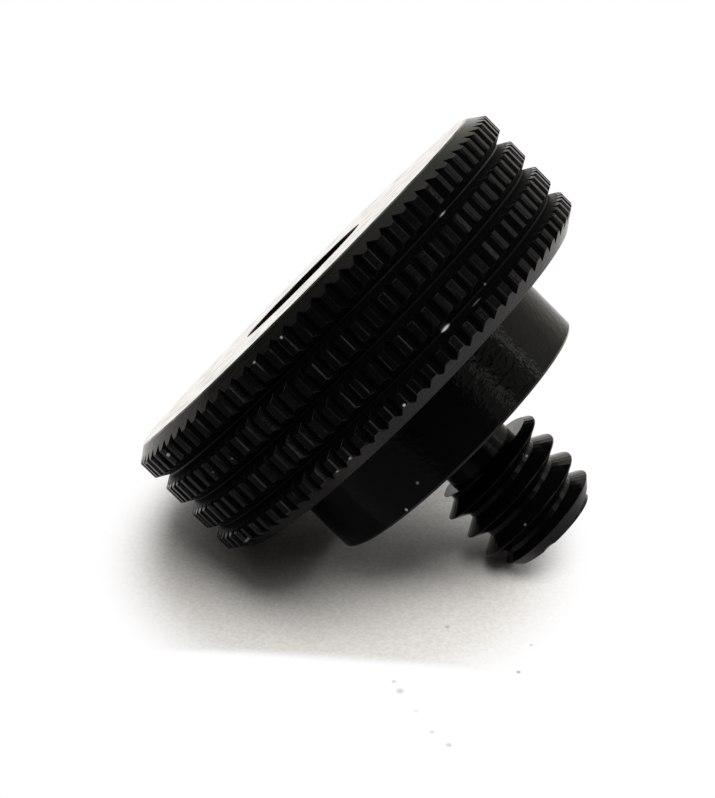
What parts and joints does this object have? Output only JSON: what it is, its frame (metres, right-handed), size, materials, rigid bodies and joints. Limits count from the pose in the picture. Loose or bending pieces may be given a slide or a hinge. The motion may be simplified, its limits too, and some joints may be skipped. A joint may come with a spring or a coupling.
{
  "type": "thumb screw",
  "caption": "Thumb screw turned in one piece: a thick disc head with knurled rings and a blind recess in its face, a plain collar, a relief neck and a short threaded stud.",
  "frame": {"origin": "centre of the head's flat face, which the screw stands on", "axes": "+Z along the screw's axis, from the head to the tip of the stud; X and Y lie in the head's face"},
  "size_m": [0.0232, 0.0232, 0.0172],
  "materials": {
    "black_finish": "black anodised aluminium, satin, with small bright nicks where the black is rubbed through"
  },
  "bodies": {
    "root": {"thumb_screw": "black_finish"}
  },
  "joints": []
}
